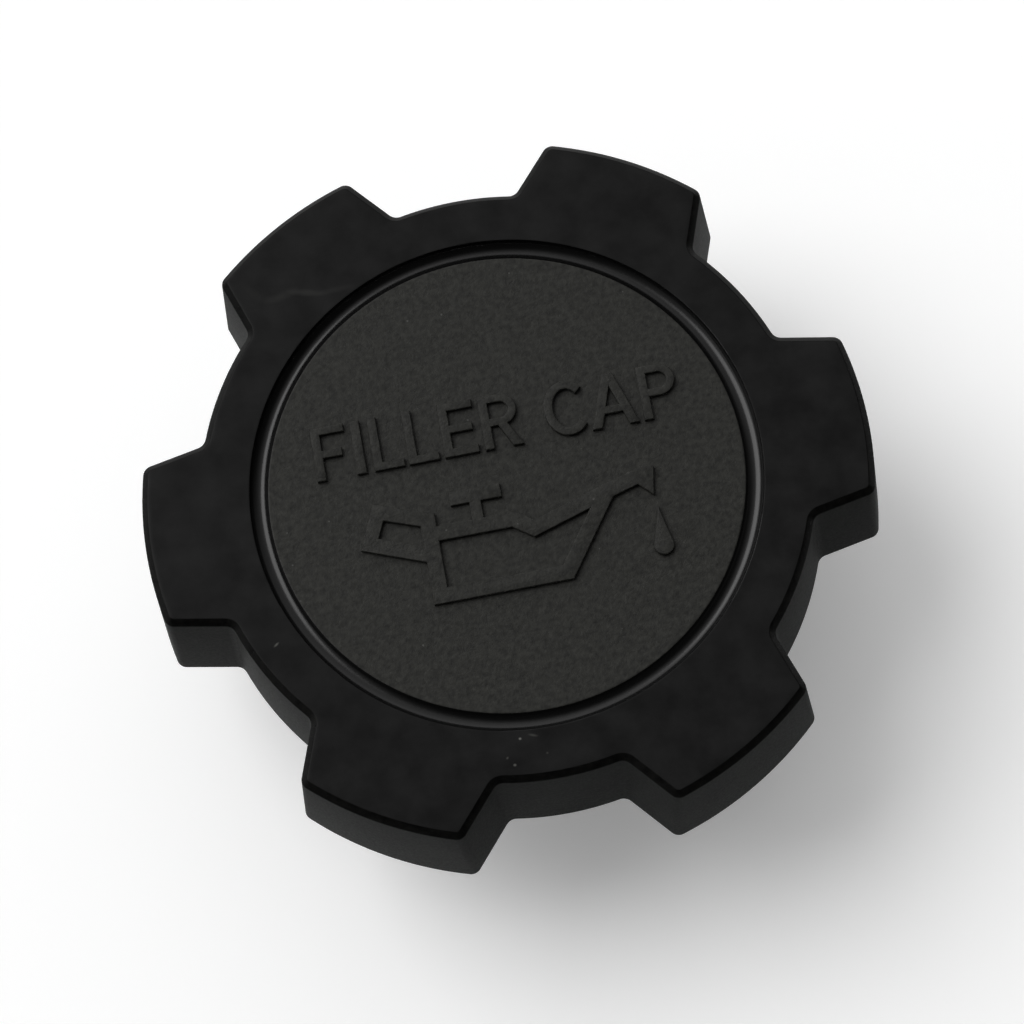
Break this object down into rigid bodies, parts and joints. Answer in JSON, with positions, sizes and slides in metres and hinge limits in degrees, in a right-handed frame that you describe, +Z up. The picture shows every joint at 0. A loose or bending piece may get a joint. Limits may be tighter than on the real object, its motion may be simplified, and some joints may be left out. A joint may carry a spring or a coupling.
{
  "type": "oil filler cap",
  "caption": "Round screw-in filler cap with a lobed grip head, grooved legend disc, ribbed hollow underside, hollow threaded shank and rubber seal.",
  "frame": {"origin": "centre of the sealing plane, the underside of the seal, on the cap's axis", "axes": "+Z up the cap's axis towards the legend, +X along the legend's reading direction, through the middle of a lobe"},
  "size_m": [0.064, 0.0614, 0.023],
  "materials": {
    "black_nylon": "moulded black glass-filled nylon, satin ring and finely grained legend disc",
    "seal_rubber": "moulded black nitrile rubber"
  },
  "bodies": {
    "root": {"cap_body": "black_nylon", "seal_ring": "seal_rubber"}
  },
  "joints": []
}
